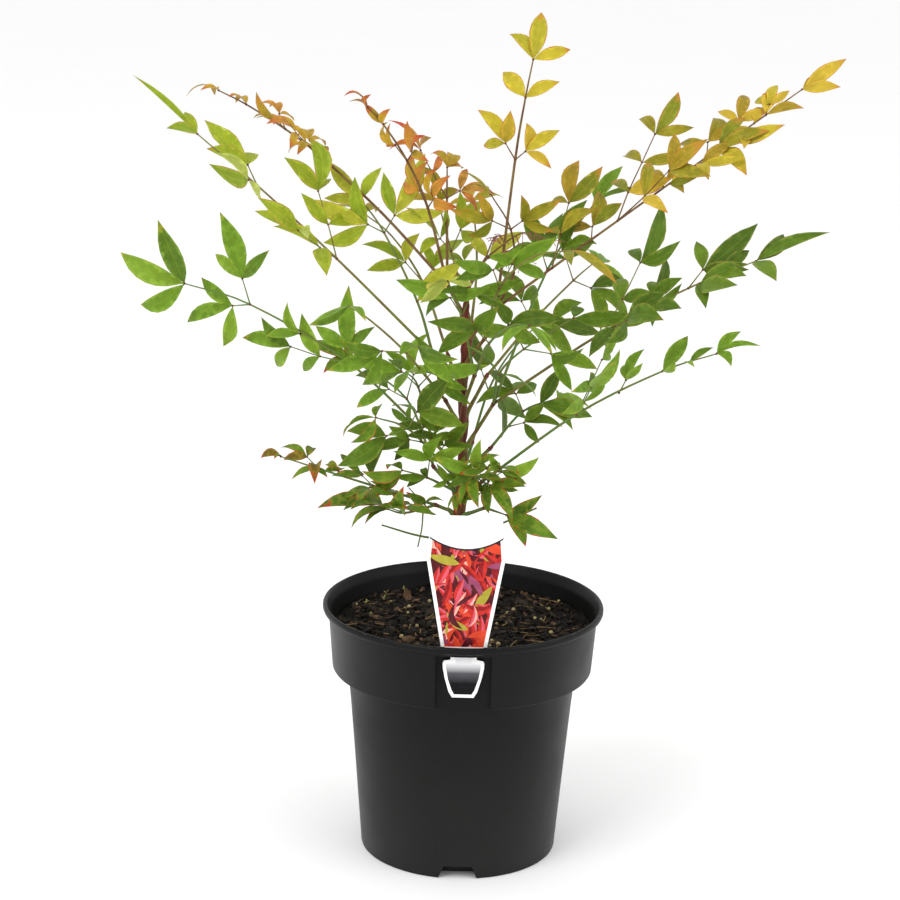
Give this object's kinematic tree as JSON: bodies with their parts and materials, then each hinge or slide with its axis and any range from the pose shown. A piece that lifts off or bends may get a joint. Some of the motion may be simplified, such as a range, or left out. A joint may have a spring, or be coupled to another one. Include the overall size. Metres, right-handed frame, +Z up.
{
  "type": "potted heavenly bamboo shrub",
  "caption": "Young upright shrub with fine divided leaves on thin stalks, standing in a round tapered nursery pot with a hanging label.",
  "frame": {"origin": "centre of the pot's flat underside", "axes": "+Z up along the pot, -Y towards the label at the front, +X to the right as seen from the front"},
  "size_m": [0.4647, 0.329, 0.5523],
  "materials": {
    "pot": "matte, fine grain",
    "soil": "rough damp bark",
    "label": "smooth satin sheet",
    "cane": "smooth young bark",
    "stalk": "smooth thin stalks",
    "leaf_gold": "satin young leaf",
    "leaf_bronze": "satin young leaf",
    "leaf_red": "satin leaf tinged red",
    "leaf_green": "satin leaf",
    "leaf_deep": "satin mature leaf"
  },
  "bodies": {
    "root": {"pot": "pot", "soil": "soil", "label": "label", "cane": "cane", "flower_stub": "stalk", "leaves_back_left_long": "leaf_green", "leaves_back_long": "leaf_green", "leaves_back_right_long": "leaf_deep", "leaves_back_up": "leaf_green", "leaves_foot_front_left": "leaf_green", "leaves_foot_front_right": "leaf_green", "leaves_foot_left_low": "leaf_red", "leaves_foot_right_low": "leaf_red", "leaves_foot_right_up": "leaf_red", "leaves_front_left_long": "leaf_green", "leaves_front_long": "leaf_green", "leaves_front_right_long": "leaf_green", "leaves_front_up": "leaf_green", "leaves_left_long": "leaf_green", "leaves_left_near": "leaf_green", "leaves_low_back_long": "leaf_deep", "leaves_low_front_long": "leaf_green", "leaves_low_left_long": "leaf_green", "leaves_low_right_long": "leaf_deep", "leaves_lower_left_long": "leaf_red", "leaves_lower_right_long": "leaf_green", "leaves_mid_left_long": "leaf_green", "leaves_mid_left_up": "leaf_green", "leaves_mid_right_long": "leaf_deep", "leaves_mid_right_near": "leaf_green", "leaves_mid_right_up": "leaf_deep", "leaves_upper_left_long": "leaf_bronze", "leaves_upper_left_mid": "leaf_red", "leaves_upper_left_tall": "leaf_bronze", "leaves_upper_right_long": "leaf_gold", "leaves_upper_right_mid": "leaf_bronze", "leaves_upper_right_tall": "leaf_gold", "old_stalk_left": "stalk", "old_stalk_left_short": "stalk", "old_stalk_low": "stalk", "old_stalk_right": "stalk", "stalk_back": "stalk", "stalk_back_left": "stalk", "stalk_back_right": "stalk", "stalk_foot_front": "stalk", "stalk_foot_right": "stalk", "stalk_front": "stalk", "stalk_front_left": "stalk", "stalk_front_right": "stalk", "stalk_left": "stalk", "stalk_low_back": "stalk", "stalk_low_front": "stalk", "stalk_low_left": "stalk", "stalk_low_right": "stalk", "stalk_lower_left": "stalk", "stalk_lower_right": "stalk", "stalk_mid_left": "stalk", "stalk_mid_right": "stalk", "stalk_upper_left": "stalk", "stalk_upper_right": "stalk"}
  },
  "joints": []
}
